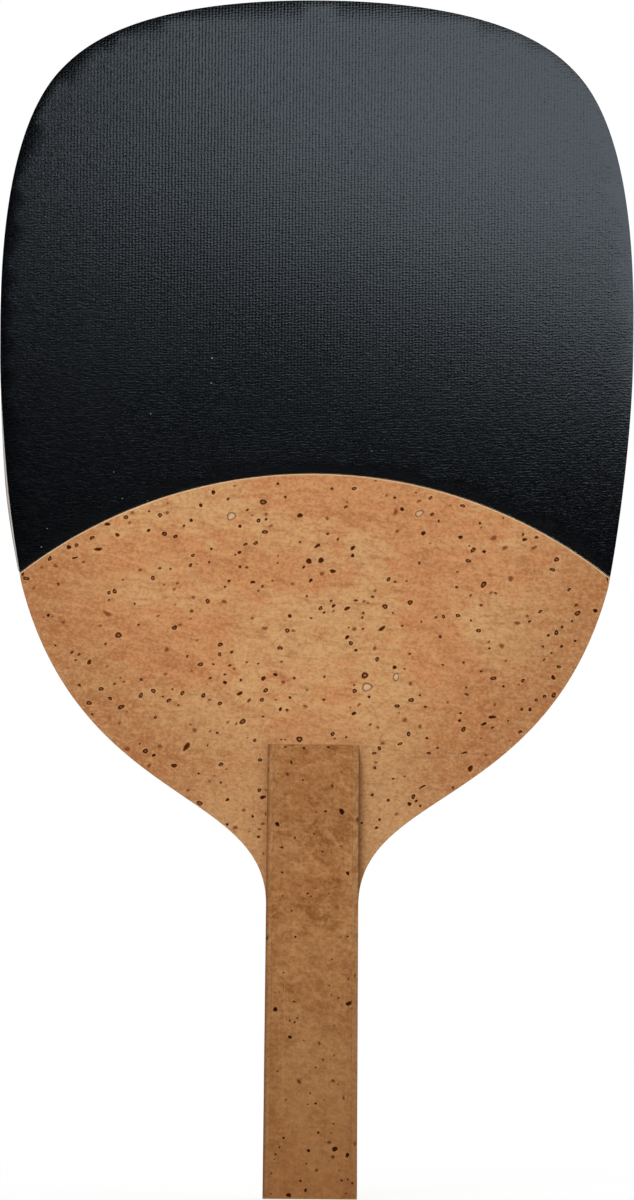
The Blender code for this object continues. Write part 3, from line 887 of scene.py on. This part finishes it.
gripMarks = {
    "solid": [
        (8, 42, 0.6, 1.5, 10), (6.2, 83.1, 0.66, 1.5, 130), (5.3, 10.8, 0.62, 1.1, 0),
        (-7.7, 40.6, 0.52, 1.2, 10), (8, 9.5, 0.5, 1.3, 90), (-7.6, 80.3, 0.52, 1.5, 120),
        (-4.5, 34.7, 0.44, 1.3, 0), (7.6, 69.9, 0.42, 1.7, 110), (1.1, 20.5, 0.3, 1.4, 0),
        (-4.5, 0.8, 0.56, 1.1, 0), (-0.9, 1.9, 0.38, 1.4, 80), (-2, 3.9, 0.30, 1.1, 90),
        (-6.6, 75.3, 0.3, 2.6, 170), (-3.8, 77.4, 0.26, 1.5, 110), (3.2, 96.9, 0.36, 1.5, 150),
        (-2, 96.6, 0.30, 1.2, 0), (-4.7, 93.6, 0.32, 2.2, 115), (-2.2, 89.8, 0.22, 1.1, 0),
        (-5.7, 13.1, 0.28, 1.3, 110), (-7.4, 9.6, 0.26, 1.1, 0), (1.7, 14.3, 0.30, 1.2, 90),
        (-0.3, 10.4, 0.38, 1.2, 30), (-0.8, 7.6, 0.20, 1.1, 0), (6.8, 4.1, 0.24, 1.1, 0),
        (8.1, 4.3, 0.24, 1.2, 90),
    ],
    "blur": [
        (-2.5, 25.2, 0.52, 1.1, 130), (4.8, 25.4, 0.42, 1.4, 160), (-5.5, 91, 0.42, 1.3, 120),
        (7.1, 21.7, 0.4, 1.5, 100), (4.1, 12.2, 0.46, 1.1, 20), (4.9, 9.1, 0.46, 1.1, 0),
        (4.1, 88.6, 0.42, 1.5, 110), (1.8, 33.4, 0.36, 1.5, 100), (2.6, 29.9, 0.32, 1.1, 90),
        (1.4, 6.2, 0.4, 1.2, 60), (-4.5, 97.1, 0.2, 1.1, 0), (6.3, 6.2, 0.2, 1.1, 0),
        (-8.3, 1.1, 0.24, 1.1, 0),
    ],
}
cheekMarks = {
    -1: {"solid": [(-9.55, 91.5, 0.3, 1.6, 90), (-9.75, 7.5, 0.3, 1.2, 90), (-9.6, 56, 0.22, 1.3, 90),
                   (-9.2, 30.5, 0.2, 1.2, 0)]},
    1: {"solid": [(9.65, 81.5, 0.3, 1.5, 90), (9.1, 3.5, 0.26, 1.2, 60), (9.3, 48, 0.2, 1.2, 0)],
        "blur": [(9.6, 11.9, 0.4, 1.2, 90)]},
}
thickness, joint, gap = grip["faceThickness"], grip["joint"], grip["jointGap"]
gripTop = rampProfile(grip["length"], grip["rampRun"], grip["crest"], grip["foot"])
facePlan = gripPlan(lambda z: halfGrip(z) - joint - gap, grip["length"])
blockPlan = gripPlan(lambda z: halfGrip(z) - joint - gap, grip["blockLength"])
rampLines = rampRows(90.2, 97.4, 0.4)
faceScatter = {"count": 50, "sizes": (0.14, 0.34), "kinds": (0.15, 0.5, 0.35), "seed": 23}
alongJoint = (facePlan[:, 1] > 0.01) & (facePlan[:, 1] < facePlan[:, 1].max() - 0.01)
corners, faces, fields = plateShape(
    facePlan, gripTop, beneath(gripTop, thickness, grip["under"]), [(0.32, 0.0), *rounding(0.10, 2)],
    share=np.where(alongJoint, 0.15, 1.0), marks=scatterMarks(facePlan, faceScatter, markRows(gripMarks)),
    inner=rampLines, spacing=1.6,
)
# At the butt end a painted highlight; left and right give painted shade along the cheeks' outer edges, strong
# on the left; sides and sidesBelow give wear
worn = {
    "butt": ((0.0, 0.2, 0.32), (0.8, 0.6, 0.0)),
    "left": ((0.0, 0.3, 0.75), (0.8, 0.55, 0.0)), "right": ((0.0, 0.15, 0.3), (0.1, 0.06, 0.0)),
    "sides": ((6.0, 9.0), (0.0, 0.12)), "sidesBelow": ((48.0, 64.0), (1.0, 0.0)),
}


def handWear(corners):
    # A tan shade that grows from the middle line out to both sides, below the middle of the grip
    return np.interp(np.abs(corners[:, 0]), *worn["sides"]) * np.interp(corners[:, 1], *worn["sidesBelow"])


fields[:, 1] = np.maximum(fields[:, 1], handWear(corners))
# Painted highlight: a pale line along the butt end of the grip's face
fields[:, 3] = np.maximum(fields[:, 3], np.interp(corners[:, 1], *worn["butt"]))
makePiece("grip_face_cork", "grip_cork", gripCork, corners, faces, fields)
makePiece("grip_block", "block_wood", woods["block"], *plateShape(
    blockPlan, beneath(gripTop, thickness + 0.02, grip["under"] + 0.15), grip["under"], rounding(0.05, 1),
    inner=rampLines, spacing=2.0,
))

# Cheeks: rounded on the outside, with painted shade along that edge, and crisp along the joint line
for node, shadedSide, turn, radius in (
    ("grip_left_cork", "left", -1, 0.22), ("grip_right_cork", "right", 1, 0.12)
):
    near, far = lambda z: turn * (halfGrip(z) - joint + gap), lambda z: turn * halfGrip(z)
    inner, outer = (near, far)[::turn]
    plan = gripPlan(outer, grip["length"], inner)
    outside = np.abs(plan[:, 0]) > halfGrip(plan[:, 1]) - 0.1
    corners, faces, fields = plateShape(
        plan, gripTop, grip["under"], [(0.75, 0.0), (0.4, 0.0), *rounding(radius, 3)],
        share=np.where(outside | (plan[:, 1] < 0.01), 1.0, 0.03), marks=markRows(cheekMarks[turn]),
        inner=rampLines, spacing=0.8,
    )
    # Painted shade along the cheek's outer rounded edge, strong on the left and faint on the right
    paintedEdgeShade = np.interp(halfGrip(corners[:, 1]) - np.abs(corners[:, 0]), *worn[shadedSide])
    fields[:, 1] = np.maximum.reduce([fields[:, 1], paintedEdgeShade, handWear(corners)])
    # Painted highlight: a pale line along the butt end of the cheek
    fields[:, 3] = np.interp(corners[:, 1], *worn["butt"])
    makePiece(node, "grip_cork", cheekCork, corners, faces, fields)

# Back of the grip: a thin block and its cork, which runs down a longer ramp
backTop = rampProfile(grip["backLength"], grip["backRampRun"], grip["backCrest"], grip["backFoot"])
backRows = rampRows(78.0, 88.0, 0.5)
backPlan, backBlockPlan = (gripPlan(halfGrip, grip[key]) for key in ("backLength", "backBlockLength"))
backScatter = {"count": 110, "sizes": (0.14, 0.55), "kinds": (0.3, 0.42, 0.28), "seed": 31}
makePiece("back_grip_cork", "grip_cork", gripCork, *plateShape(
    backPlan, backTop, beneath(backTop, thickness, grip["backUnder"]), rounding(0.5, 4),
    marks=scatterMarks(backPlan, backScatter), inner=backRows, spacing=1.6,
), facing=-1)
makePiece("back_grip_block", "block_wood", woods["block"], *plateShape(
    backBlockPlan, beneath(backTop, thickness + 0.02, grip["backUnder"] + 0.1), grip["backUnder"],
    rounding(0.05, 1), inner=backRows,
), facing=-1)
print("pieces made")

# Camera: straight on, rolled a little so that the racket leans as it does in the photograph
camera = {
    "distance": 5000.0, "aim": (0.51, 128.39), "roll": 0.473,
    "frameHeight": 257.4, "plane": 4.5, "sensor": 36.0,
}
lens = bpy.data.cameras.new("camera")
lens.sensor_width = camera["sensor"]
lens.lens = camera["sensor"] * camera["distance"] / camera["frameHeight"]
lens.clip_start, lens.clip_end = 0.05, 50.0
cameraObject = addObject("camera", lens)
away = -camera["plane"] - camera["distance"]
cameraObject.location = Vector((camera["aim"][0], away, camera["aim"][1])) * metre
cameraObject.rotation_euler = (np.radians(90), np.radians(-camera["roll"]), 0)
bpy.context.scene.camera = cameraObject

# Soft lamps: place and aim in metres, size, radiance of the panel and a turn about its own axis.
# The key is left out of reflections. The sheen is only seen in them.
middle = (0.0, 0.0, 0.12)
lamps = {
    "key": {"place": (-0.20, -1.14, 0.36), "aim": (0.0, 0.0, 0.14), "size": (0.5, 0.4), "radiance": 15.5,
            "glossy": False},
    "left": {"place": (-0.9, -0.8, 0.35), "size": (0.7, 0.9), "radiance": 1.1, "glossy": False},
    "right": {"place": (0.9, -0.8, 0.30), "size": (0.7, 0.9), "radiance": 1.3, "glossy": False},
    "back": {"place": (0.3, 1.1, 0.8), "size": (1.0, 0.8), "radiance": 4.5},
    "sheen": {"place": (0.1532, -0.2569, 0.2705), "aim": (-0.0698, 0.2598, 1.0971),
              "size": (0.4197, 0.2967), "radiance": 3.88, "turn": -22.34, "diffuse": False},
}
for name, lamp in lamps.items():
    light = bpy.data.lights.new(name, "AREA")
    light.shape = "RECTANGLE"
    light.size, light.size_y = lamp["size"]
    light.energy = lamp["radiance"] * np.pi * light.size * light.size_y
    lightObject = addObject(name, light)
    lightObject.location = lamp["place"]
    facing = (Vector(lamp.get("aim", middle)) - Vector(lamp["place"])).to_track_quat("-Z", "Y")
    turn = Quaternion((0, 0, 1), np.radians(lamp.get("turn", 0.0)))
    lightObject.rotation_euler = (facing @ turn).to_euler()
    lightObject.visible_camera = False
    lightObject.visible_diffuse = lamp.get("diffuse", True)
    lightObject.visible_glossy = lamp.get("glossy", True)

# World: white where the camera looks and in clear or glossy things that show what is behind the
# racket, and a dim even room for everything else, darker in front
room = {"light": 0.42, "front": 0.015, "fade": (-0.85, 0.1), "behind": (0.1, 0.3)}
bpy.context.scene.world = bpy.data.worlds.new("room")


def plainSight(finish):
    # 1 for rays from the camera and through clear things, 0 for all others
    rays = finish.add("LightPath", {}).node.outputs
    return finish.maths("MAXIMUM", rays["Is Camera Ray"], rays["Is Transmission Ray"])


sky = Finish(bpy.context.scene.world)
depth = sky.add("SeparateXYZ", {0: sky.place.node.outputs["Generated"]}, 1)
ambient = sky.between(depth, *room["fade"], room["front"], room["light"])
behind = sky.between(depth, *room["behind"], easing="LINEAR")
mirrored = sky.maths("MULTIPLY", sky.add("LightPath", {}, "Is Glossy Ray"), behind)
seenWhite = sky.maths("MAXIMUM", plainSight(sky), mirrored)
background = sky.tree.nodes["Background"].inputs
sky.feed(background["Strength"], sky.add("Mix", {0: seenWhite, 2: ambient, 3: 1.0}))
background["Color"].default_value = (1.0, 1.0, 1.0, 1.0)

# Floor: pale and matt near the racket, where it holds the shadow, and white to the camera far off.
# Its grid is finest about the middle.
floorLook = {
    "half": 20.0, "finest": 0.05, "drop": 0.0003, "colour": (0.2, 0.2, 0.2, 1.0), "lift": 0.82,
    "fade": (0.5, 1.5),
}
outwards = np.geomspace(floorLook["finest"], floorLook["half"], 12)
edges = np.concatenate([-outwards[::-1], [0.0], outwards])
x, y = np.meshgrid(edges, edges)
floorCorners = np.stack([x.ravel(), y.ravel(), np.full(x.size, -floorLook["drop"])], axis=1)
lines = len(edges)
cell = (np.arange(lines - 1)[:, None] * lines + np.arange(lines - 1)).ravel()
floorFaces = np.stack([cell, cell + 1, cell + lines + 1, cell + lines], axis=1)
floorMesh = bpy.data.meshes.new("floor")
floorMesh.from_pydata(floorCorners.tolist(), [], floorFaces.tolist())
paper = newFinish("floorPaper")
paper.tree.nodes.remove(paper.tree.nodes["Principled BSDF"])
seen = plainSight(paper)
matt = paper.add("BsdfDiffuse", {"Color": floorLook["colour"]})
glow = paper.add("Emission", {"Strength": paper.maths("MULTIPLY", seen, floorLook["lift"])})
close = paper.add("AddShader", {0: matt, 1: glow})
white = paper.add("Emission", {"Strength": seen})
far = paper.between(paper.distance((0.0, 0.0, 0.0)), *floorLook["fade"])
surface = paper.add("MixShader", {0: far, 1: close, 2: white})
paper.feed(paper.tree.nodes["Material Output"].inputs["Surface"], surface)
floorMesh.materials.append(paper.owner)
addObject("floor", floorMesh)

bpy.context.scene.view_settings.view_transform = "Standard"
print("camera, lamps and floor set")
